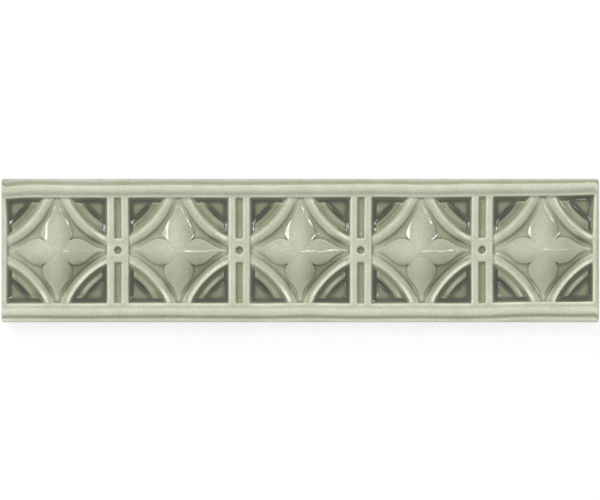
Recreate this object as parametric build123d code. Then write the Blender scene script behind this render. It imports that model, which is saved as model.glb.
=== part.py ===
"""Glazed relief border tile: a pressed clay bar with a moulded rail along each long edge and a row of
nearly square panels between the rails. Each panel holds a four-petalled flower framed by four rounded arcs.

Frame: origin at the centre of the back, +X along the tile, +Y across it, +Z out of the decorated face.
All sizes are in millimetres and all angles in degrees.
"""

import math
import os

from build123d import *

# Overall size, and the thickness from the back to the flat frame of bars, blocks and lips
LENGTH = 250.0
WIDTH = 60.0
THICKNESS = 10.0

# Row along the tile: end stiles, panels of about this length, and dividers of two bars with a slot between
STILE_WIDTH = 2.2
PANEL_TARGET = 42.0
BAR_WIDTH = 2.75
SLOT_WIDTH = 3.2

# Moulding along each long edge, from the edge inwards
BEAD_WIDTH = 1.3
GROOVE_WIDTH = 1.15
RAIL_WIDTH = 3.15
COVE_WIDTH = 1.1
LIP_WIDTH = 1.0

# Heights of that moulding above the frame, how far its tops are arched, how far the rail's outer side leans,
# and the groove's depth below the frame
BEAD_RISE = 0.3
BEAD_ARCH = 0.4
GROOVE_DEPTH = 0.6
RAIL_RISE = 0.9
RAIL_ARCH = 0.35
RAIL_LEAN = 0.15

# Rounding of the ends, and of the four corners seen from above
END_ROUND = 1.0
CORNER_RADIUS = 0.9

# Depths below the frame, and the draft that lets the clay leave its mould
GROUND_DEPTH = 2.7
MOAT_DEPTH = 3.8
SLOT_DEPTH = 1.9
DRAFT = 10.0

# Block in the middle of each divider, and the blind dimple in it
BLOCK_LENGTH = 9.8
DIMPLE_DIAMETER = 3.1
DIMPLE_DEPTH = 2.0

# Arc round each corner of a panel: radius at its foot beside the flower, half the gap that two arcs leave
# for a petal's tip, width, distance of its crest from the foot, rounding of the crest, and heights above the
# ground of the steep foot, the crest and the back
ARC_RADIUS = 36.3
ARC_TIP_GAP = 1.6
ARC_WIDTH = 4.3
ARC_CREST = 3.2
ARC_ROUND = 0.9
ARC_FOOT_RISE = 1.75
ARC_RISE = 2.2
ARC_BACK_RISE = 0.9

# Lower rib behind the arc, on the same centre
RIB_GAP = 1.1
RIB_WIDTH = 2.4
RIB_RISE = 1.05

# Moat along the walls beside each corner, which ends the rib short of them, and the arrowhead pad that
# stands in the corner of the moat
MOAT_WIDTH = 2.2
PAD_LEG = 7.0
PAD_WAIST = 3.3
PAD_RISE = 1.2

# Flower: distances from its centre along a petal, widths of the petals that lie along and across the tile,
# the share of its width that a petal keeps half-way to its tip, the crest's heights above the ground at the
# centre and tip, and how far the crown arches
PETAL_NOTCH = 4.4
PETAL_BELLY = 7.6
PETAL_WIDTH = 10.9
PETAL_WIDTH_ACROSS = 12.1
PETAL_TAPER = 0.43
PETAL_RISE = 2.5
PETAL_TIP_RISE = 1.0
PETAL_CROWN = 1.3

# How far a raised solid runs down into the clay under it
ROOT = 0.5

# Worked out from the sizes above
divider_width = 2 * BAR_WIDTH + SLOT_WIDTH
panel_count = round((LENGTH - 2 * STILE_WIDTH + divider_width) / (PANEL_TARGET + divider_width))
panel_length = (LENGTH - 2 * STILE_WIDTH - (panel_count - 1) * divider_width) / panel_count
panel_width = WIDTH - 2 * (BEAD_WIDTH + GROOVE_WIDTH + RAIL_WIDTH + COVE_WIDTH + LIP_WIDTH)
panel_pitch = panel_length + divider_width
panel_centres = [(i - (panel_count - 1) / 2) * panel_pitch for i in range(panel_count)]
divider_centres = [x + panel_pitch / 2 for x in panel_centres[:-1]]
ground = THICKNESS - GROUND_DEPTH
moat_floor = THICKNESS - MOAT_DEPTH
root = moat_floor - ROOT
rail_top = THICKNESS + RAIL_RISE
arc_back = ARC_RADIUS - ARC_WIDTH
rib_foot = arc_back - RIB_GAP
rib_back = rib_foot - RIB_WIDTH
inner_length = panel_length - 2 * MOAT_WIDTH
inner_width = panel_width - 2 * MOAT_WIDTH
petal_fall = 2 * (PETAL_RISE - PETAL_TIP_RISE) / max(panel_length, panel_width)
crown_half = max(PETAL_WIDTH, PETAL_WIDTH_ACROSS) / 2


def prism(outline, bottom, top):
    """Upright solid on a flat outline, between two heights."""
    return extrude(Pos(0, 0, bottom) * outline, top - bottom)


def recess(length, width, depth):
    """Rectangular pocket sunk below the frame, with walls that lean by the draft."""
    mouth = Plane((0, 0, THICKNESS), x_dir=(1, 0, 0), z_dir=(0, 0, -1))
    return extrude(mouth * Rectangle(length, width), depth, taper=DRAFT)


def moulding_side():
    """One side of the cross-section, from the back up over the bead, groove, rail and cove to the lip."""
    edge = WIDTH / 2
    groove_out = edge - BEAD_WIDTH
    groove_in = groove_out - GROOVE_WIDTH
    rail_out = groove_in - RAIL_LEAN
    rail_in = groove_in - RAIL_WIDTH
    lip = rail_in - COVE_WIDTH
    bead_top = THICKNESS + BEAD_RISE
    bead_side = bead_top - BEAD_ARCH
    groove_floor = THICKNESS - GROOVE_DEPTH
    rail_side = rail_top - RAIL_ARCH
    bead_crest = (edge - BEAD_WIDTH / 2, bead_top)
    groove_bottom = ((groove_out + groove_in) / 2, groove_floor)
    rail_crest = ((rail_out + rail_in) / 2, rail_top)
    return [
        Line((edge, 0), (edge, bead_side)),
        ThreePointArc((edge, bead_side), bead_crest, (groove_out, bead_side)),
        ThreePointArc((groove_out, bead_side), groove_bottom, (groove_in, bead_side)),
        Line((groove_in, bead_side), (rail_out, rail_side)),
        ThreePointArc((rail_out, rail_side), rail_crest, (rail_in, rail_side)),
        TangentArc((lip, THICKNESS), (rail_in, rail_side), tangent=(1, 0)),
    ]


def blank():
    """The bar of clay with its moulded long edges, rounded ends and rounded corners."""
    side = moulding_side()
    far_side = [mirror(edge, about=Plane.YZ) for edge in side]
    lip_line = Line(side[-1] @ 0, far_side[-1] @ 0)
    back_line = Line(side[0] @ 0, far_side[0] @ 0)
    section = make_face(side + far_side + [lip_line, back_line])
    bar = extrude(Plane.YZ * section, LENGTH / 2, both=True)
    end_profile = Pos(0, rail_top / 2) * Rectangle(LENGTH, rail_top)
    end_profile = fillet(end_profile.vertices().group_by(Axis.Y)[-1], END_ROUND)
    ends = extrude(Plane.XZ * end_profile, WIDTH / 2, both=True)
    plan = prism(RectangleRounded(LENGTH, WIDTH, CORNER_RADIUS), 0, rail_top)
    return bar & ends & plan


def divider_cuts():
    """The two slots of a divider, and the dimple in the block between them."""
    slot_length = (panel_width - BLOCK_LENGTH) / 2
    slot_centre = (BLOCK_LENGTH + slot_length) / 2
    slot = recess(SLOT_WIDTH, slot_length, SLOT_DEPTH)
    dimple = prism(Circle(DIMPLE_DIAMETER / 2), THICKNESS - DIMPLE_DEPTH, THICKNESS)
    return [Pos(0, slot_centre) * slot, Pos(0, -slot_centre) * slot, dimple]


def quarter_ring(section):
    """A section given as radius and height, swept a quarter turn about the Z axis."""
    return revolve(Plane.XZ * section, Axis.Z, revolution_arc=90)


def corner_arc():
    """A corner's arc: a steep foot by the flower, a slope up to a rounded crest and a short steep back."""
    outline = Polyline(
        (ARC_RADIUS, root),
        (ARC_RADIUS, ground + ARC_FOOT_RISE),
        (ARC_RADIUS - ARC_CREST, ground + ARC_RISE),
        (arc_back, ground + ARC_BACK_RISE),
        (arc_back, root),
        close=True,
    )
    section = make_face(outline)
    crest = section.vertices().sort_by(Axis.Y)[-1]
    return quarter_ring(fillet(crest, ARC_ROUND))


def corner_rib():
    """The lower rib behind the arc, ending at the moat along the walls."""
    crest = ((rib_back + rib_foot) / 2, ground + RIB_RISE)
    section = make_face(
        [
            ThreePointArc((rib_foot, ground), crest, (rib_back, ground)),
            Polyline((rib_back, ground), (rib_back, root), (rib_foot, root), (rib_foot, ground)),
        ]
    )
    return quarter_ring(section)


def arc_centre_step():
    """Step from a panel's centre to an arc's centre, the same in X and Y. It makes the arc's foot meet the
    panel's nearer side at half the gap left for a petal's tip."""
    near = min(panel_length, panel_width) / 2
    total = near + ARC_TIP_GAP
    return (total + math.sqrt(2 * ARC_RADIUS**2 - (near - ARC_TIP_GAP) ** 2)) / 2


def petal(length, width):
    """One petal along +X from the flower's centre: a leaf outline under an arched, falling crown."""
    half = width / 2
    notch = Vector(PETAL_NOTCH, PETAL_NOTCH)
    belly = Vector(PETAL_BELLY, half)
    tip = Vector(length, 0)
    taper = Vector((PETAL_BELLY + length) / 2, half * PETAL_TAPER)
    flatter = Vector(tip.X - taper.X, (tip.Y - taper.Y) / 2)
    flank = [
        Line((0, 0), notch),
        TangentArc(belly, notch, tangent=(-1, 0)),
        Spline(belly, taper, tip, tangents=[(1, 0), flatter]),
    ]
    outline = make_face(flank + [mirror(edge, about=Plane.XZ) for edge in flank])
    crest = ground + PETAL_RISE
    leaf = prism(outline, root, crest)
    edge = crest - PETAL_CROWN
    crown = ThreePointArc((crown_half, edge), (0, crest), (-crown_half, edge))
    base = Polyline((-crown_half, edge), (-crown_half, 0), (crown_half, 0), (crown_half, edge))
    fall = Vector(length, 0, -petal_fall * length)
    roof = extrude(Plane.YZ * make_face([crown, base]), fall.length, dir=fall.normalized())
    return leaf & roof


def flower():
    """Four petals that meet in the middle of a panel and reach its four sides."""
    along = petal(panel_length / 2, PETAL_WIDTH)
    across = petal(panel_width / 2, PETAL_WIDTH_ACROSS)
    return along + Rot(0, 0, 180) * along + Rot(0, 0, 90) * across + Rot(0, 0, 270) * across


def corner_pad():
    """Arrowhead pad with its right angle at the origin and its legs along +X and +Y."""
    arrowhead = make_face(Polyline((0, 0), (PAD_LEG, 0), (PAD_WAIST, PAD_WAIST), (0, PAD_LEG), close=True))
    return prism(arrowhead, root, moat_floor + PAD_RISE)


def four_corners(piece):
    """A piece of one corner, with its mirror images in the other three."""
    pair = [piece, mirror(piece, about=Plane.XZ)]
    return pair + [mirror(item, about=Plane.YZ) for item in pair]


def panel_relief():
    """Everything that stands in one panel, trimmed to end under the frame round it."""
    step = arc_centre_step()
    under_frame = min(BAR_WIDTH, STILE_WIDTH, LIP_WIDTH) / 2
    cell = Rectangle(panel_length + 2 * under_frame, panel_width + 2 * under_frame)
    inner = Rectangle(inner_length, inner_width)
    arc = Pos(-step, -step) * corner_arc()
    rib = Pos(-step, -step) * corner_rib() & prism(inner, root, rail_top)
    pad = Pos(-inner_length / 2, -inner_width / 2) * corner_pad()
    wall_moat = Pos(-step, -step) * Circle(ARC_RADIUS - ARC_WIDTH / 2) - inner
    moat = Pos(-step, -step) * Circle((rib_back + rib_foot) / 2) + wall_moat
    floor = prism(cell - four_corners(moat), root, ground)
    relief = floor + four_corners(arc) + four_corners(rib) + four_corners(pad)
    return (relief & prism(cell, root, rail_top)) + flower()


def border_tile():
    """The whole tile as one solid."""
    panel = recess(panel_length, panel_width, MOAT_DEPTH)
    cuts = [Pos(x) * panel for x in panel_centres]
    cuts += [Pos(x) * cut for x in divider_centres for cut in divider_cuts()]
    relief = panel_relief()
    return blank() - cuts + [Pos(x) * relief for x in panel_centres]


os.makedirs("parts", exist_ok=True)
export_step(border_tile(), "parts/border_tile.step")
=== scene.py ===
"""Glazed relief border tile, laid flat on a pale floor and seen from straight above.

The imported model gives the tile's shape. A fine net is pressed onto it and its edges are softened as in
hand-pressed clay. A glaze that gathers in the hollows is run over it, and the sides and back are closed, with
bare fired clay below the glaze's lower line.
"""

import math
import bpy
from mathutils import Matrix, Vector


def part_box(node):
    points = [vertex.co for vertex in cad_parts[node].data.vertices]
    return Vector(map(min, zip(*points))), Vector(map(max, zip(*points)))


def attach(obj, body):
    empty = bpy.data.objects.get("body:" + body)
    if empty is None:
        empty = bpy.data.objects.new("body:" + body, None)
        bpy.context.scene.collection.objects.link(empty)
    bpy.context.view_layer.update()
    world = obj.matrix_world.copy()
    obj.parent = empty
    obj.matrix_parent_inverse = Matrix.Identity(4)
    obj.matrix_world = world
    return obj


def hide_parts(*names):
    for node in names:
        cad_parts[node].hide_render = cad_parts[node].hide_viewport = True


bl_info = {
    "name": "Relief border tile",
    "version": (1, 0, 0),
    "blender": (4, 5, 0),
    "location": "View3D > Sidebar > Border tile",
    "description": "Builds a glazed relief border tile over its packed model, with a plain studio stage",
    "category": "Add Mesh",
}

from types import SimpleNamespace

import bmesh
import bpy
import numpy as np
from mathutils import Vector

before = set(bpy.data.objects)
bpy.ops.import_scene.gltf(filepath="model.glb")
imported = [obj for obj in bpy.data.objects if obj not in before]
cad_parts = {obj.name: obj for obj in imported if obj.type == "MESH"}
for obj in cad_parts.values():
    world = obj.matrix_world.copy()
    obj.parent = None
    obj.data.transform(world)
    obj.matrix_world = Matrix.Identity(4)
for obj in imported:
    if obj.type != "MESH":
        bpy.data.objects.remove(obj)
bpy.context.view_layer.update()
tile_low, tile_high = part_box("border_tile")

MM = 0.001

# Depths below the frame in millimetres, and the glaze's tone on a level surface there
SUNK_MM = (-0.9, 0.0, 0.5, 1.2, 1.7, 2.65, 3.2, 3.8)
SUNK_TONE = (-0.12, 0.01, 0.0, 0.11, 0.27, 0.15, 1.15, 2.05)

# Tone of the flat frame, to which the others are added, and the range that the colours are spread over
FRAME_TONE = 0.72
TONE_LOW = 0.2
TONE_HIGH = 2.75

# Reaches over which the relief is looked at: its fine and broad bends, its level, and what lies round a place
FINE_REACH = 0.6 * MM
BROAD_REACH = 1.2 * MM
LEVEL_REACH = 0.8 * MM
HOLLOW_LEVEL_REACH = 0.6 * MM
FLOOR_REACH = 1.5 * MM
AROUND_REACH = 3 * MM

# Reach over which the glaze evens out on the deepest floors
EVEN_REACH = 0.7 * MM

# Paling of broad and of fine rims, and how much more the fine ones pale in the corners and all on the petals
BROAD_RIM = 0.2
FINE_RIM = 0.3
CORNER_RIM = 0.3
PETAL_RIM = 1.2

# Paling of the arcs' crests, and how much more they pale to the lower right
CREST_PALING = 0.1
CREST_PALING_RIGHT = 0.35

# Darkening of fine creases and its change towards the lower right, how far it is held back at the petals'
# tips, and the same darkening and change in the corners
CREASE = 0.65
CREASE_SLANT = 0.8
TIP_HOLD = 0.7
CORNER_CREASE = 0.6
CORNER_CREASE_SLANT = -0.75

# Darkening of the broad creases round the petals, and how much more it darkens towards the lower right as
# painted shadow on the petals' shaded side
PETAL_CREASE = 0.28
PETAL_SHADOW_SLANT = 0.2

# Tone of the slots and dimples in the dividers, and of their creases that bend by more than this
PIT_TONE = 0.15
PIT_CREASE = 0.4
PIT_BEND = 0.6

# Tone from the depth that lies round a place, on the whole and in the hollow corners
AROUND_TONE = 0.11
AROUND_TONE_HOLLOW = 0.38

# Tone of glaze that fills a crease, of the darkening towards each panel's lower right, and of glaze on the
# arcs' slopes, with how much darker those are to the lower right
FILL_TONE = 0.2
LOWER_RIGHT_TONE = 0.4
SLOPE_TONE = 0.12
SLOPE_TONE_RIGHT = 0.55

# Tones of the flower, of the floors beside its tips, of the ribs' ends and of the pads
FLOWER_TONE = 0.05
TIP_FLOOR_TONE = -0.3
RIB_END_TONE = 0.45
PAD_TONE = -0.2

# Change of tone towards the lower right in the hollow corners, behind the arcs and on the pads, and on the
# flower, where the darker lower right is painted shade
FLOWER_SHADE_SLANT = 0.12
HOLLOW_SLANT = -0.2
BACK_SLANT = -0.35
PAD_SLANT = 0.3


class TileSizes(bpy.types.PropertyGroup):
    """Sizes of the pressed clay and of the glaze that lies on it."""

    net_step: bpy.props.FloatProperty(
        name="Net step",
        description="Spacing of the net that is pressed onto the relief",
        default=0.25 * MM,
        precision=5,
        unit="LENGTH",
    )
    triangles: bpy.props.IntProperty(
        name="Triangles",
        description="How many triangles the finished tile may have",
        default=185000,
    )
    corner_radius: bpy.props.FloatProperty(
        name="Corner radius",
        description="Rounding of the tile's four corners, seen from above",
        default=0.9 * MM,
        precision=5,
        unit="LENGTH",
    )
    frame_height: bpy.props.FloatProperty(
        name="Frame height",
        description="Height of the flat bars between the panels above the back",
        default=10.0 * MM,
        precision=5,
        unit="LENGTH",
    )
    panel_pitch: bpy.props.FloatProperty(
        name="Panel pitch",
        description="Distance from one panel's middle to the next",
        default=50.86 * MM,
        precision=5,
        unit="LENGTH",
    )
    panel_length: bpy.props.FloatProperty(
        name="Panel length",
        description="Length of a panel along the tile",
        default=42.16 * MM,
        precision=5,
        unit="LENGTH",
    )
    panel_width: bpy.props.FloatProperty(
        name="Panel width",
        description="Width of a panel across the tile",
        default=44.6 * MM,
        precision=5,
        unit="LENGTH",
    )
    edge_softness: bpy.props.FloatProperty(
        name="Edge softness",
        description="How far the edges of the pressed clay are worn",
        default=0.28 * MM,
        precision=5,
        unit="LENGTH",
    )
    pool_reach: bpy.props.FloatProperty(
        name="Pool reach",
        description="How far the glaze creeps out of a crease while it melts",
        default=0.42 * MM,
        precision=5,
        unit="LENGTH",
    )
    deep_pool: bpy.props.FloatProperty(
        name="Deep pool",
        description="How far the glaze climbs out of the deep ground and moats",
        default=1.1 * MM,
        precision=5,
        unit="LENGTH",
    )
    wall_pool: bpy.props.FloatProperty(
        name="Wall pool",
        description="How far the glaze climbs the walls at the petals' tips and in the corners",
        default=1.3 * MM,
        precision=5,
        unit="LENGTH",
    )
    flower_drop: bpy.props.FloatProperty(
        name="Flower drop",
        description="How far each flower sits below the middle of its panel",
        default=0.55 * MM,
        precision=5,
        unit="LENGTH",
    )
    end_lift: bpy.props.FloatProperty(
        name="End lift",
        description="How far the pressed pattern climbs across the tile near its right end",
        default=0.6 * MM,
        precision=5,
        unit="LENGTH",
    )
    hand_drift: bpy.props.FloatProperty(
        name="Hand drift",
        description="How far the pattern wanders from its true place",
        default=0.12 * MM,
        precision=5,
        unit="LENGTH",
    )
    glaze_line: bpy.props.FloatProperty(
        name="Glaze line",
        description="Height on the sides where the glaze ends and bare clay begins",
        default=4.0 * MM,
        precision=5,
        unit="LENGTH",
    )
    glaze_thickness: bpy.props.FloatProperty(
        name="Glaze thickness",
        description="How far the glaze stands out from the bare clay of the sides",
        default=0.15 * MM,
        precision=5,
        unit="LENGTH",
    )
    back_round: bpy.props.FloatProperty(
        name="Back rounding",
        description="Rounding of the edge round the back",
        default=0.6 * MM,
        precision=5,
        unit="LENGTH",
    )


class TileColours(bpy.types.PropertyGroup):
    """Colours of the glaze by how thick it lies, and of the bare clay."""

    glaze_rim: bpy.props.FloatVectorProperty(
        name="Glaze on rims",
        description="Glaze on the sharpest rims, where it has run off",
        subtype="COLOR",
        size=3,
        min=0,
        max=1,
        default=(0.79, 0.8, 0.65),
    )
    glaze_thin: bpy.props.FloatVectorProperty(
        name="Thin glaze",
        description="Glaze on the rails, bars and crests",
        subtype="COLOR",
        size=3,
        min=0,
        max=1,
        default=(0.63, 0.637, 0.513),
    )
    glaze_body: bpy.props.FloatVectorProperty(
        name="Glaze",
        description="Glaze on the broad petals",
        subtype="COLOR",
        size=3,
        min=0,
        max=1,
        default=(0.452, 0.47, 0.349),
    )
    glaze_thick: bpy.props.FloatVectorProperty(
        name="Thick glaze",
        description="Glaze on the sunk ground round the flowers",
        subtype="COLOR",
        size=3,
        min=0,
        max=1,
        default=(0.255, 0.28, 0.168),
    )
    glaze_deep: bpy.props.FloatVectorProperty(
        name="Deep glaze",
        description="Glaze on the slopes of the deepest corners",
        subtype="COLOR",
        size=3,
        min=0,
        max=1,
        default=(0.12, 0.13, 0.08),
    )
    glaze_pooled: bpy.props.FloatVectorProperty(
        name="Pooled glaze",
        description="Glaze that has gathered in the deepest corners",
        subtype="COLOR",
        size=3,
        min=0,
        max=1,
        default=(0.06, 0.065, 0.046),
    )
    bare_clay: bpy.props.FloatVectorProperty(
        name="Bare clay",
        description="Fired clay of the back and the foot of the sides",
        subtype="COLOR",
        size=3,
        min=0,
        max=1,
        default=(0.56, 0.47, 0.36),
    )


class StageSettings(bpy.types.PropertyGroup):
    """The floor, the camera and the lamps."""

    camera_height: bpy.props.FloatProperty(
        name="Camera height",
        description="Height of the camera above the floor",
        default=2.5,
        unit="LENGTH",
    )
    picture_width: bpy.props.FloatProperty(
        name="Picture width",
        description="Length along the tile's top edge that fills the picture",
        default=251.2 * MM,
        precision=5,
        unit="LENGTH",
    )
    floor_colour: bpy.props.FloatVectorProperty(
        name="Floor colour",
        description="Colour of the floor under its pale glow",
        subtype="COLOR",
        size=3,
        min=0,
        max=1,
        default=(0.2, 0.2, 0.2),
    )
    fill_strength: bpy.props.FloatProperty(
        name="Fill light",
        description="Light from all round",
        default=0.37,
    )
    soft_power: bpy.props.FloatProperty(
        name="Soft light",
        description="Power of the broad light to the tile's upper left, in watts",
        default=78.0,
    )
    left_power: bpy.props.FloatProperty(
        name="Left lamp",
        description="Power of the lamp beyond the tile's left end, in watts",
        default=3.1,
    )
    right_power: bpy.props.FloatProperty(
        name="Right lamp",
        description="Power of the lamp beyond the tile's right end, in watts",
        default=4.6,
    )
    near_power: bpy.props.FloatProperty(
        name="Near lamp",
        description="Power of the small lamp beside the camera, in watts",
        default=5.0,
    )


def blurred(field, reach):
    """A field smoothed by a bell curve that reaches so many net steps. Its border values are held."""
    span = max(1, math.ceil(3 * reach))
    weights = np.exp(-0.5 * (np.arange(-span, span + 1) / reach) ** 2)
    weights /= weights.sum()
    for axis in (0, 1):
        margin = [(span, span) if axis == side else (0, 0) for side in (0, 1)]
        padded = np.pad(field, margin, mode="edge")
        count = field.shape[axis]
        total = np.zeros_like(field)
        for start, weight in enumerate(weights):
            total += weight * padded.take(range(start, start + count), axis)
        field = total
    return field


def unevenness(shape, reach, seed):
    """Smooth random field of about unit size, the same on every run."""
    noise = np.random.default_rng(seed).standard_normal(shape)
    field = blurred(noise, reach)
    return field / field.std()


def smooth_step(value, low, high):
    """0 below low, 1 above high, and a smooth rise between them."""
    share = np.clip((value - low) / (high - low), 0, 1)
    return share * share * (3 - 2 * share)


def smooth_fall(value, low, high):
    """1 below low, 0 above high, and a smooth fall between them."""
    return 1 - smooth_step(value, low, high)


def apply_modifier(tile, kind, **settings):
    """Adds a modifier to the tile, sets it and applies it."""
    bpy.ops.object.select_all(action="DESELECT")
    tile.select_set(True)
    bpy.context.view_layer.objects.active = tile
    bpy.ops.object.modifier_add(type=kind)
    modifier = tile.modifiers[-1]
    for name, value in settings.items():
        setattr(modifier, name, value)
    bpy.ops.object.modifier_apply(modifier=modifier.name)


def read_points(tile):
    """The tile's vertex positions, one row each."""
    points = np.empty(len(tile.data.vertices) * 3, np.float32)
    tile.data.vertices.foreach_get("co", points)
    return points.reshape(-1, 3).astype(float)


def write_points(tile, points):
    """Moves the tile's vertices to these positions."""
    tile.data.vertices.foreach_set("co", points.astype(np.float32).ravel())
    tile.data.update()


def lay_net(sizes):
    """A flat net over the tile. Returns it with its vertices' order as rows along the tile."""
    length = tile_high.x - tile_low.x
    width = tile_high.y - tile_low.y
    columns = round(length / sizes.net_step)
    rows = round(width / sizes.net_step)
    bpy.ops.object.select_all(action="DESELECT")
    bpy.ops.mesh.primitive_grid_add(x_subdivisions=columns, y_subdivisions=rows, size=length)
    tile = bpy.context.object
    tile.name = "glazed_tile"
    bpy.ops.object.mode_set(mode="EDIT")
    bpy.ops.transform.resize(value=(1, width / length, 1))
    bpy.ops.transform.translate(value=(0, 0, 2 * tile_high.z))
    bpy.ops.object.mode_set(mode="OBJECT")
    points = read_points(tile)
    row = np.round(points[:, 1] / sizes.net_step)
    order = np.lexsort((points[:, 0], row)).reshape(rows + 1, columns + 1)
    return tile, order


def round_corners(points, sizes):
    """Draws the net's four square corners in to the tile's rounded ones."""
    radius = sizes.corner_radius
    start_x = tile_high.x - radius
    start_y = tile_high.y - radius
    out_x = (np.abs(points[:, 0]) - start_x) / radius
    out_y = (np.abs(points[:, 1]) - start_y) / radius
    corner = (out_x > 0) & (out_y > 0)
    far = np.maximum(out_x, out_y)[corner]
    scale = far / np.hypot(out_x, out_y)[corner]
    points[corner, 0] = np.sign(points[corner, 0]) * (start_x + out_x[corner] * scale * radius)
    points[corner, 1] = np.sign(points[corner, 1]) * (start_y + out_y[corner] * scale * radius)


def wander(x, y, sizes):
    """How far the pressed pattern lies from its true place, along and across the tile. Its edges stay put."""
    drift_steps = 9 * MM / sizes.net_step
    hold = 2 * MM
    free = np.clip((tile_high.y - np.abs(y)) / hold, 0, 1)
    free = free * np.clip((tile_high.x - np.abs(x)) / hold, 0, 1)
    along = sizes.hand_drift * unevenness(x.shape, drift_steps, seed=11)
    across = sizes.hand_drift * unevenness(x.shape, drift_steps, seed=12)
    panel = np.round(x / sizes.panel_pitch)
    out = np.hypot(x - panel * sizes.panel_pitch, y) / (sizes.panel_length / 2)
    across = across - sizes.flower_drop * smooth_fall(out, 0.4, 0.85)
    across = across + sizes.end_lift * smooth_step(x, 60 * MM, 105 * MM)
    return along * free, across * free


def press_net(tile, order, sizes):
    """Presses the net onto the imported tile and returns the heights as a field, rows along the tile."""
    points = read_points(tile)
    round_corners(points, sizes)
    flat = points.copy()
    grid = points[order]
    along, across = wander(grid[..., 0], grid[..., 1], sizes)
    margin = 0.02 * MM
    grid[..., 0] = (grid[..., 0] - along) * (1 - margin / tile_high.x)
    grid[..., 1] = (grid[..., 1] - across) * (1 - margin / tile_high.y)
    points[order] = grid
    write_points(tile, points)
    apply_modifier(
        tile,
        "SHRINKWRAP",
        target=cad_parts["border_tile"],
        wrap_method="PROJECT",
        use_project_z=True,
        use_negative_direction=True,
        use_positive_direction=False,
    )
    pressed = read_points(tile)
    flat[:, 2] = pressed[:, 2]
    if flat[:, 2].max() > tile_high.z + MM:
        raise RuntimeError("part of the net missed the tile")
    write_points(tile, flat)
    steps = sizes.edge_softness / sizes.net_step
    repeats = max(1, round(2 * steps**2))
    apply_modifier(tile, "SMOOTH", factor=0.5, iterations=repeats, use_x=False, use_y=False)
    return read_points(tile)[order, 2]


def panel_places(shape, sizes):
    """Each net point's place along and across its panel, from -1 to 1, and how far it is inside one."""
    rows, columns = shape
    x = np.linspace(tile_low.x, tile_high.x, columns)[None, :]
    y = np.linspace(tile_low.y, tile_high.y, rows)[:, None]
    along = (x - np.round(x / sizes.panel_pitch) * sizes.panel_pitch) / (sizes.panel_length / 2)
    across = y / (sizes.panel_width / 2)
    inside = smooth_fall(np.abs(along), 0.94, 1.0) * smooth_fall(np.abs(across), 0.94, 1.0)
    return along, across, inside


def pooled(surface, reach):
    """The surface with its hollows filled, as far as a blur of this reach lies above it."""
    return np.maximum(blurred(surface, reach), surface)


def run_glaze(clay, sizes):
    """Melts a glaze over the clay. It leaves the crests as they are and fills the creases, most of all in the
    deep ground and where the walls stand at the petals' tips and in the corners."""
    step = sizes.net_step
    along, across, inside = panel_places(clay.shape, sizes)
    diagonal = np.abs(along * across)
    corners = smooth_step(diagonal, 0.28, 0.36)
    deep = smooth_step(sizes.frame_height - blurred(clay, 1 * MM / step), 1.1 * MM, 2.3 * MM)
    tips = np.maximum(0.5 * smooth_step(np.abs(along), 0.78, 0.95), smooth_step(np.abs(across), 0.78, 0.95))
    tips = tips * inside * smooth_fall(diagonal, 0.12, 0.25)
    walls = inside * corners * smooth_step(np.maximum(np.abs(along), np.abs(across)), 0.82, 0.94)
    surface = clay
    for _ in range(3):
        surface = np.maximum(blurred(surface, sizes.pool_reach / step), clay)
    surface = surface + deep * (1 - 0.4 * corners) * (pooled(surface, sizes.deep_pool / step) - surface)
    surface = surface + np.maximum(tips, walls) * (pooled(surface, sizes.wall_pool / step) - surface)
    shallow_melt = blurred(surface, 0.15 * MM / step)
    deep_melt = blurred(surface, 0.28 * MM / step)
    surface = shallow_melt + deep * (deep_melt - shallow_melt)
    ripple = 0.02 * MM * unevenness(clay.shape, 3 * MM / step, seed=21)
    ripple += 0.04 * MM * unevenness(clay.shape, 9 * MM / step, seed=22)
    return np.minimum(surface + ripple, tile_high.z)


def find_zones(clay, sizes):
    """The zones of the relief that the glaze lies on in its own way, as shares from 0 to 1. Depths are in
    millimetres below the frame, and places are shares of half a panel."""
    along, across, inside = panel_places(clay.shape, sizes)
    diagonal = np.abs(along * across)
    outward = np.maximum(np.abs(along), np.abs(across))
    sunk = (sizes.frame_height - clay) / MM
    around = np.maximum(blurred(sunk, AROUND_REACH / sizes.net_step) - 1, 0)
    hollow = smooth_step(around, 0.9, 1.4)
    slant = inside * (along - across) / 2
    arcs = inside * smooth_step(diagonal, 0.08, 0.18) * (1 - hollow)
    tips = inside * smooth_step(outward, 0.7, 0.95)
    corners = inside * smooth_step(diagonal, 0.28, 0.36)
    above_floors = smooth_fall(sunk, 2.0, 2.4)
    return SimpleNamespace(
        sunk=sunk,
        around=around,
        hollow=hollow,
        slant=slant,
        lower_right=smooth_step(slant, 0.1, 0.3),
        slopes=arcs * smooth_step(sunk, 0.65, 0.85),
        crests=arcs * smooth_fall(sunk, 0.6, 0.8),
        backs=inside * smooth_step(around, 0.6, 0.9) * smooth_step(sunk, 0.9, 1.5) * above_floors,
        tips=tips,
        tip_floors=tips * smooth_fall(diagonal, 0.05, 0.15) * smooth_step(sunk, 1.4, 2.2),
        corners=corners,
        rib_ends=corners * smooth_step(outward, 0.7, 0.92) * smooth_step(sunk, 0.9, 1.3) * above_floors,
        pads=hollow * smooth_step(sunk, 2.2, 2.5) * smooth_fall(sunk, 2.8, 3.2),
        pits=(1 - inside) * smooth_step(sunk, 1.2, 1.8),
        flower=inside * smooth_fall(diagonal, 0.1, 0.16) * smooth_fall(outward, 0.4, 0.75),
        floors=smooth_step(sunk, 1.9, 2.3),
    )


def rim_tone(zones, fine, broad):
    """How the glaze pales on rims and crests, which it runs off."""
    rims = BROAD_RIM * np.minimum(broad, 0)
    rims = rims + (FINE_RIM + CORNER_RIM * zones.corners) * np.minimum(fine, 0)
    paling = CREST_PALING + CREST_PALING_RIGHT * zones.lower_right
    return (1 + PETAL_RIM * zones.flower) * rims - paling * zones.crests


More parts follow.
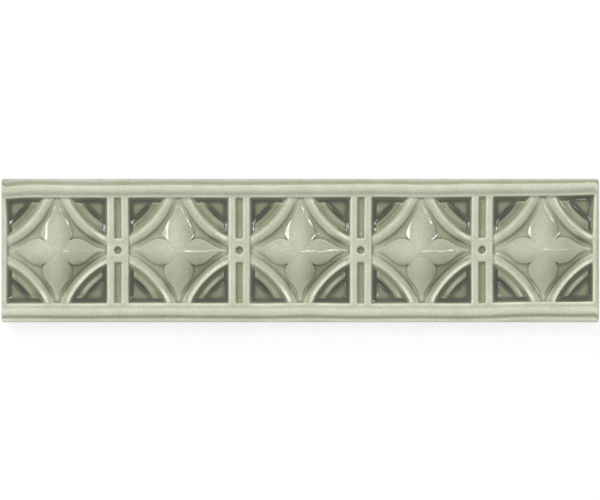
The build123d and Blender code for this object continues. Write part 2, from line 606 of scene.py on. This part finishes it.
def crease_tone(zones, fine, broad):
    """How the glaze darkens in creases, where it gathers, with painted shadow round the petals that deepens
    towards the lower right.
    """
    share = (CREASE + CREASE_SLANT * zones.slant) * (1 - TIP_HOLD * zones.tips) * (1 - zones.corners)
    share = share * (1 - zones.pits) * (1 + zones.flower)
    share = share + (CORNER_CREASE + CORNER_CREASE_SLANT * zones.slant) * zones.corners
    # Painted shadow round the petals, deeper towards the lower right
    petals = (PETAL_CREASE + PETAL_SHADOW_SLANT * zones.slant) * zones.flower
    pits = PIT_TONE + PIT_CREASE * np.maximum(broad - PIT_BEND, 0)
    return share * np.maximum(fine, 0) + petals * np.maximum(broad, 0) + pits * zones.pits


def lower_right_tone(zones, broad):
    """Darkening towards each panel's lower right on the ground and the arcs, and on the petals, where it is
    painted shade.
    """
    # Darker towards each panel's lower right on the ground and the arcs' slopes
    run = LOWER_RIGHT_TONE * zones.slant * smooth_step(broad, -0.4, 0.0)
    run = run + (SLOPE_TONE + SLOPE_TONE_RIGHT * zones.lower_right) * zones.slopes
    # Painted shade: the flower darkens towards its lower right, away from the light
    slant = FLOWER_SHADE_SLANT * zones.flower + HOLLOW_SLANT * zones.hollow
    slant = slant + BACK_SLANT * zones.backs + PAD_SLANT * zones.pads
    return run * (1 - zones.hollow) + slant * zones.slant


def glaze_depth_and_shade(clay, surface, sizes):
    """How much light the glaze takes away. It lies thin on narrow crests and rims, thicker on broad forms,
    and thickest where the relief is deep or creased. It also carries painted shade, darker to the lower right
    on the flower and round the petals."""
    step = sizes.net_step
    zones = find_zones(clay, sizes)
    fine = (blurred(clay, FINE_REACH / step) - clay) / MM
    broad = (blurred(clay, BROAD_REACH / step) - clay) / MM
    level = blurred(zones.sunk, LEVEL_REACH / step) * (1 - zones.hollow)
    level = level + blurred(zones.sunk, HOLLOW_LEVEL_REACH / step) * zones.hollow
    tone = np.interp(level, SUNK_MM, SUNK_TONE)
    tone = tone + (AROUND_TONE + AROUND_TONE_HOLLOW * zones.hollow) * zones.around
    tone = tone + rim_tone(zones, fine, broad) + crease_tone(zones, fine, broad) + lower_right_tone(zones, broad)
    tone = tone + FILL_TONE * (surface - clay) / MM * (1 - zones.hollow)
    tone = tone + FLOWER_TONE * zones.flower + TIP_FLOOR_TONE * zones.tip_floors
    tone = tone + RIB_END_TONE * zones.rib_ends + PAD_TONE * zones.pads
    deepest = zones.floors * smooth_step(blurred(zones.sunk, FLOOR_REACH / step), 2.4, 2.9)
    share = np.maximum(blurred(zones.floors, EVEN_REACH / step), 0.05)
    even = blurred(tone * zones.floors, EVEN_REACH / step) / share
    return FRAME_TONE + tone + deepest * (even - tone)


def select_rim():
    """Selects the open rim of the mesh in edit mode."""
    bpy.ops.mesh.select_all(action="DESELECT")
    bpy.ops.mesh.select_mode(type="EDGE")
    bpy.ops.mesh.select_non_manifold(
        extend=False, use_wire=False, use_boundary=True, use_multi_face=False, use_non_contiguous=False
    )


def extrude_rim(height, inset):
    """Extrudes the selected rim to a level loop at this height, drawn in from the tile's outline."""
    bpy.ops.mesh.extrude_region_move()
    bpy.ops.transform.resize(value=(1, 1, 0), center_override=(0, 0, height))
    shrink = (1 - inset / tile_high.x, 1 - inset / tile_high.y, 1)
    bpy.ops.transform.resize(value=shrink, center_override=(0, 0, height))


def glaze_wave(x, y):
    """Rise and fall of the glaze's lower line round the sides."""
    swell = math.sin(x * 190 + 0.7) * math.cos(y * 170 + x * 40)
    return 0.45 * MM * swell + 0.25 * MM * math.sin(x * 410 - y * 330 + 1.9)


def close_sides(tile, sizes):
    """Runs the sides down from the rim, over the glaze's lower line and the clay, and closes the back."""
    bpy.ops.object.select_all(action="DESELECT")
    tile.select_set(True)
    bpy.context.view_layer.objects.active = tile
    bpy.ops.object.mode_set(mode="EDIT")
    select_rim()
    lip = sizes.glaze_thickness
    line = sizes.glaze_line
    foot = sizes.back_round
    extrude_rim(line + 1.5 * MM, 0)
    mesh = bmesh.from_edit_mesh(tile.data)
    for height, inset in ((line, 0), (line - 0.6 * lip, 0.3 * lip), (line - lip, lip)):
        extrude_rim(height, inset)
        for vertex in mesh.verts:
            if vertex.select:
                vertex.co.z += glaze_wave(vertex.co.x, vertex.co.y)
    extrude_rim(foot, lip)
    extrude_rim(0.3 * foot, lip + 0.3 * foot)
    extrude_rim(0, lip + foot)
    bpy.ops.mesh.edge_face_add()
    bpy.ops.mesh.select_all(action="SELECT")
    bpy.ops.mesh.normals_make_consistent(inside=False)
    bpy.ops.object.mode_set(mode="OBJECT")


def thin_net(tile, sizes):
    """Thins the net where the surface is plain, down to the number of triangles allowed."""
    triangles = sum(len(face.vertices) - 2 for face in tile.data.polygons)
    apply_modifier(tile, "DECIMATE", ratio=sizes.triangles / triangles, use_collapse_triangulate=True)
    write_points(tile, np.clip(read_points(tile), tile_low, tile_high))


def sample(field, x, y):
    """Values of a net field at places on the tile, in metres."""
    rows, columns = field.shape
    column = np.clip((x - tile_low.x) / (tile_high.x - tile_low.x), 0, 1) * (columns - 1)
    row = np.clip((y - tile_low.y) / (tile_high.y - tile_low.y), 0, 1) * (rows - 1)
    left = np.minimum(column.astype(int), columns - 2)
    below = np.minimum(row.astype(int), rows - 2)
    u = column - left
    v = row - below
    lower = field[below, left] * (1 - u) + field[below, left + 1] * u
    upper = field[below + 1, left] * (1 - u) + field[below + 1, left + 1] * u
    return lower * (1 - v) + upper * v


def store_depth_and_shade(tile, depth, sizes):
    """Keeps the glaze's depth, with its painted shade, on the tile's vertices. On the sides it thickens
    towards its lower line.
    """
    points = read_points(tile)
    values = sample(depth, points[:, 0], points[:, 1])
    low = sizes.glaze_line + 3 * MM
    roll = smooth_step(-points[:, 2], -low, -sizes.glaze_line)
    values = values + roll * (1.0 - values)
    attribute = tile.data.attributes.new("glaze_depth_and_shade", "FLOAT", "POINT")
    attribute.data.foreach_set("value", values.astype(np.float32))


def mark_clay(tile, sizes):
    """Gives the faces under the glaze's lower line the bare clay, and makes the back's edge crisp."""
    bpy.ops.object.mode_set(mode="EDIT")
    mesh = bmesh.from_edit_mesh(tile.data)
    for face in mesh.faces:
        face.smooth = True
        middle = face.calc_center_median()
        line = sizes.glaze_line - 0.8 * sizes.glaze_thickness + glaze_wave(middle.x, middle.y)
        face.material_index = 1 if middle.z < line else 0
    for edge in mesh.edges:
        low = max(vertex.co.z for vertex in edge.verts) < sizes.back_round
        if low and edge.calc_face_angle(0) > math.radians(25):
            edge.smooth = False
    bmesh.update_edit_mesh(tile.data)
    bpy.ops.object.mode_set(mode="OBJECT")


def new_material(name):
    """An empty procedural material. Returns it with its nodes, its links and its shader."""
    material = bpy.data.materials.new(name)
    material.use_nodes = True
    nodes = material.node_tree.nodes
    shader = nodes["Principled BSDF"]
    return material, nodes, material.node_tree.links, shader


def add_noise(nodes, links, coordinates, scale, detail):
    """Noise on the object's own coordinates."""
    noise = nodes.new("ShaderNodeTexNoise")
    noise.inputs["Scale"].default_value = scale
    noise.inputs["Detail"].default_value = detail
    links.new(coordinates.outputs["Object"], noise.inputs["Vector"])
    return noise


def add_range(nodes, links, value, low, high):
    """Turns a value from 0 to 1 into one from low to high."""
    spread = nodes.new("ShaderNodeMapRange")
    spread.inputs["To Min"].default_value = low
    spread.inputs["To Max"].default_value = high
    links.new(value, spread.inputs["Value"])
    return spread.outputs["Result"]


def add_sum(nodes, links, first, second):
    """The sum of two values."""
    total = nodes.new("ShaderNodeMath")
    total.operation = "ADD"
    links.new(first, total.inputs[0])
    links.new(second, total.inputs[1])
    return total.outputs["Value"]


def glaze_material(colours):
    """Glossy pale green glaze, pale where it lies thin and dark where it has gathered or where shade is
    painted in.
    """
    material, nodes, links, shader = new_material("celadon_glaze")
    coordinates = nodes.new("ShaderNodeTexCoord")
    depth = nodes.new("ShaderNodeAttribute")
    depth.attribute_name = "glaze_depth_and_shade"
    clouds = add_noise(nodes, links, coordinates, scale=120, detail=3)
    grain = add_noise(nodes, links, coordinates, scale=1100, detail=2)
    cloudy = add_range(nodes, links, clouds.outputs["Fac"], low=-0.14, high=0.14)
    grainy = add_range(nodes, links, grain.outputs["Fac"], low=-0.2, high=0.2)
    uneven = add_sum(nodes, links, cloudy, grainy)
    tone = add_sum(nodes, links, depth.outputs["Fac"], uneven)
    share = nodes.new("ShaderNodeMapRange")
    share.inputs["From Min"].default_value = TONE_LOW
    share.inputs["From Max"].default_value = TONE_HIGH
    links.new(tone, share.inputs["Value"])
    # Tone at which each colour lies
    stops = (
        (TONE_LOW, colours.glaze_rim),
        (0.48, colours.glaze_thin),
        (0.78, colours.glaze_body),
        (1.32, colours.glaze_thick),
        (2.08, colours.glaze_deep),
        (TONE_HIGH, colours.glaze_pooled),
    )
    ramp = nodes.new("ShaderNodeValToRGB")
    while len(ramp.color_ramp.elements) < len(stops):
        ramp.color_ramp.elements.new(1.0)
    for element, (level, colour) in zip(ramp.color_ramp.elements, stops):
        element.position = (level - TONE_LOW) / (TONE_HIGH - TONE_LOW)
        element.color = (*colour, 1)
    links.new(share.outputs["Result"], ramp.inputs["Fac"])
    links.new(ramp.outputs["Color"], shader.inputs["Base Color"])
    gloss = add_range(nodes, links, clouds.outputs["Fac"], low=0.05, high=0.12)
    links.new(gloss, shader.inputs["Roughness"])
    ripple = add_noise(nodes, links, coordinates, scale=260, detail=2)
    bump = nodes.new("ShaderNodeBump")
    bump.inputs["Strength"].default_value = 0.25
    bump.inputs["Distance"].default_value = 0.06 * MM
    links.new(ripple.outputs["Fac"], bump.inputs["Height"])
    links.new(bump.outputs["Normal"], shader.inputs["Normal"])
    return material


def clay_material(colours):
    """Matt fired clay with a fine grain."""
    material, nodes, links, shader = new_material("bare_fired_clay")
    coordinates = nodes.new("ShaderNodeTexCoord")
    patches = add_noise(nodes, links, coordinates, scale=60, detail=4)
    grain = add_noise(nodes, links, coordinates, scale=1600, detail=3)
    shade = add_range(nodes, links, patches.outputs["Fac"], low=0.0, high=0.5)
    fine = add_range(nodes, links, grain.outputs["Fac"], low=0.0, high=0.5)
    total = add_sum(nodes, links, shade, fine)
    ramp = nodes.new("ShaderNodeValToRGB")
    dark, light = ramp.color_ramp.elements
    dark.position = 0.3
    dark.color = (*[0.8 * part for part in colours.bare_clay], 1)
    light.position = 0.7
    light.color = (*[1.1 * part for part in colours.bare_clay], 1)
    links.new(total, ramp.inputs["Fac"])
    links.new(ramp.outputs["Color"], shader.inputs["Base Color"])
    rough = add_range(nodes, links, grain.outputs["Fac"], low=0.75, high=0.95)
    links.new(rough, shader.inputs["Roughness"])
    bump = nodes.new("ShaderNodeBump")
    bump.inputs["Strength"].default_value = 0.5
    bump.inputs["Distance"].default_value = 0.1 * MM
    links.new(grain.outputs["Fac"], bump.inputs["Height"])
    links.new(bump.outputs["Normal"], shader.inputs["Normal"])
    return material


def background_light(nodes, links):
    """1 for what the camera sees directly, in a reflection or through glass, and 0 for other light."""
    path = nodes.new("ShaderNodeLightPath")
    seen = add_sum(nodes, links, path.outputs["Is Camera Ray"], path.outputs["Is Glossy Ray"])
    return add_sum(nodes, links, seen, path.outputs["Is Transmission Ray"])


def floor_material(settings):
    """Plain pale floor that keeps the tile's shadow."""
    material, nodes, links, shader = new_material("pale_floor")
    shader.inputs["Base Color"].default_value = (*settings.floor_colour, 1)
    shader.inputs["Roughness"].default_value = 0.9
    shader.inputs["Specular IOR Level"].default_value = 0.0
    shader.inputs["Emission Color"].default_value = (1, 1, 1, 1)
    seen = background_light(nodes, links)
    glow = add_range(nodes, links, seen, low=0.0, high=0.83)
    links.new(glow, shader.inputs["Emission Strength"])
    return material


def light_world(settings):
    """White surroundings to look at, with a softer fill light for the tile."""
    world = bpy.data.worlds.new("studio_surroundings")
    bpy.context.scene.world = world
    world.use_nodes = True
    nodes = world.node_tree.nodes
    links = world.node_tree.links
    background = nodes["Background"]
    background.inputs["Color"].default_value = (1, 1, 1, 1)
    seen = background_light(nodes, links)
    strength = add_range(nodes, links, seen, low=settings.fill_strength, high=1.0)
    links.new(strength, background.inputs["Strength"])


def around_tile(turn, tilt, distance):
    """A place at this distance from the tile, turned so many degrees to the right from its far side and
    tilted so many degrees from straight above."""
    turn, tilt = math.radians(turn), math.radians(tilt)
    reach = distance * math.sin(tilt)
    return reach * math.sin(turn), reach * math.cos(turn), distance * math.cos(tilt)


def add_lamp(name, place, size, power):
    """A flat oval lamp aimed at the tile. Its size is along the tile and across it, before it is tilted."""
    aim = Vector(place).normalized()
    turn = (-math.asin(aim.y), math.atan2(aim.x, aim.z), 0)
    bpy.ops.object.light_add(type="AREA", location=place, rotation=turn)
    lamp = bpy.context.object
    lamp.name = name
    lamp.data.shape = "ELLIPSE"
    lamp.data.size, lamp.data.size_y = size
    lamp.data.energy = power
    return lamp


class BORDERTILE_OT_glazed_tile(bpy.types.Operator):
    """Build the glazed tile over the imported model"""

    bl_idname = "border_tile.glazed_tile"
    bl_label = "Glazed tile"

    def execute(self, context):
        sizes = context.scene.border_tile_sizes
        colours = context.scene.border_tile_colours
        tile, order = lay_net(sizes)
        clay = press_net(tile, order, sizes)
        surface = run_glaze(clay, sizes)
        points = read_points(tile)
        points[order, 2] = surface
        write_points(tile, points)
        close_sides(tile, sizes)
        thin_net(tile, sizes)
        store_depth_and_shade(tile, glaze_depth_and_shade(clay, surface, sizes), sizes)
        tile.data.materials.append(glaze_material(colours))
        tile.data.materials.append(clay_material(colours))
        mark_clay(tile, sizes)
        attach(tile, "root")
        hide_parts("border_tile")
        return {"FINISHED"}


class BORDERTILE_OT_stage(bpy.types.Operator):
    """Set the floor, the camera and the lamps"""

    bl_idname = "border_tile.stage"
    bl_label = "Studio stage"

    def execute(self, context):
        settings = context.scene.border_tile_stage
        bpy.ops.object.select_all(action="DESELECT")
        bpy.ops.mesh.primitive_plane_add(size=8, location=(0, 0, -0.05 * MM))
        floor = context.object
        floor.name = "floor"
        floor.data.materials.append(floor_material(settings))
        light_world(settings)
        place = around_tile(turn=-45, tilt=58, distance=3)
        soft_light = add_lamp("soft_light", place, (3.2, 3.2), settings.soft_power)
        # Only the three smaller lamps are mirrored in the glaze
        soft_light.visible_glossy = False
        place = around_tile(turn=-77, tilt=44, distance=1.5)
        add_lamp("left_lamp", place, (0.24, 0.4), settings.left_power)
        place = around_tile(turn=67, tilt=44, distance=1.5)
        add_lamp("right_lamp", place, (0.4, 0.32), settings.right_power)
        place = (0.567, 0.224, 4)
        add_lamp("near_lamp", place, (0.46, 0.16), settings.near_power)
        # The tile lies a little off the middle of the picture
        place = (-0.08 * MM, 0.21 * MM, settings.camera_height)
        bpy.ops.object.camera_add(location=place, rotation=(0, 0, 0))
        camera = context.object
        camera.name = "camera"
        reach = settings.camera_height - context.scene.border_tile_sizes.frame_height
        camera.data.sensor_width = 36
        camera.data.lens = camera.data.sensor_width * reach / settings.picture_width
        camera.data.clip_end = 20
        context.scene.camera = camera
        context.scene.view_settings.view_transform = "Standard"
        return {"FINISHED"}


class BORDERTILE_PT_panel(bpy.types.Panel):
    """Sizes, colours and build steps of the border tile"""

    bl_label = "Border tile"
    bl_idname = "BORDERTILE_PT_panel"
    bl_space_type = "VIEW_3D"
    bl_region_type = "UI"
    bl_category = "Border tile"

    def draw(self, context):
        for group in ("border_tile_sizes", "border_tile_colours", "border_tile_stage"):
            settings = getattr(context.scene, group)
            box = self.layout.box()
            for name in settings.__annotations__:
                box.prop(settings, name)
        self.layout.operator(BORDERTILE_OT_glazed_tile.bl_idname)
        self.layout.operator(BORDERTILE_OT_stage.bl_idname)


CLASSES = (
    TileSizes,
    TileColours,
    StageSettings,
    BORDERTILE_OT_glazed_tile,
    BORDERTILE_OT_stage,
    BORDERTILE_PT_panel,
)


def register():
    """Adds the classes and hangs their settings on the scene."""
    for item in CLASSES:
        bpy.utils.register_class(item)
    bpy.types.Scene.border_tile_sizes = bpy.props.PointerProperty(type=TileSizes)
    bpy.types.Scene.border_tile_colours = bpy.props.PointerProperty(type=TileColours)
    bpy.types.Scene.border_tile_stage = bpy.props.PointerProperty(type=StageSettings)


def unregister():
    """Takes the settings and the classes away again."""
    del bpy.types.Scene.border_tile_stage
    del bpy.types.Scene.border_tile_colours
    del bpy.types.Scene.border_tile_sizes
    for item in reversed(CLASSES):
        bpy.utils.unregister_class(item)


def main():
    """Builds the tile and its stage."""
    register()
    bpy.ops.border_tile.glazed_tile()
    bpy.ops.border_tile.stage()


if __name__ == "__main__":
    main()
